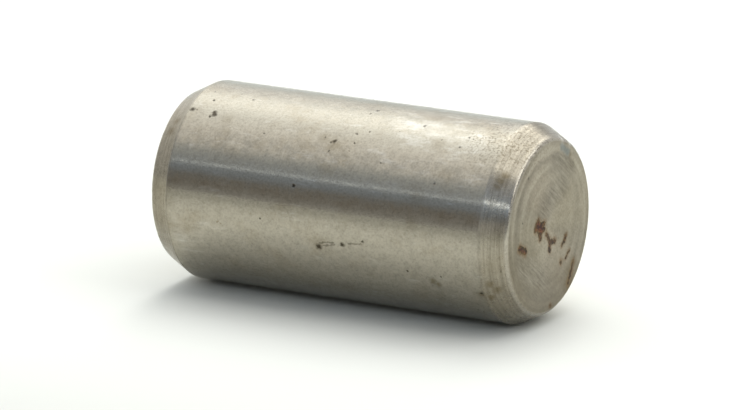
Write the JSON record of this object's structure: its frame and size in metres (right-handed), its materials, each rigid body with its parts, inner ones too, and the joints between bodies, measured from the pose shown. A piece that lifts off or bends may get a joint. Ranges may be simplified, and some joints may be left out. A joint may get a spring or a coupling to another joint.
{
  "type": "dowel pin",
  "caption": "Short parallel dowel pin of ground steel, with a lead-in chamfer at each end, that locates one part on another in reamed holes.",
  "frame": {"origin": "centre of the lower end face, on which the pin stands", "axes": "+Z along the pin's axis, from the lower end face to the rusted upper one; X and Y lie across it"},
  "size_m": [0.012, 0.012, 0.024],
  "materials": {
    "ground_steel": "ground shank and turned ends, slightly stained, with small rust spots on the upper end face"
  },
  "bodies": {
    "root": {"dowel_pin": "ground_steel"}
  },
  "joints": []
}
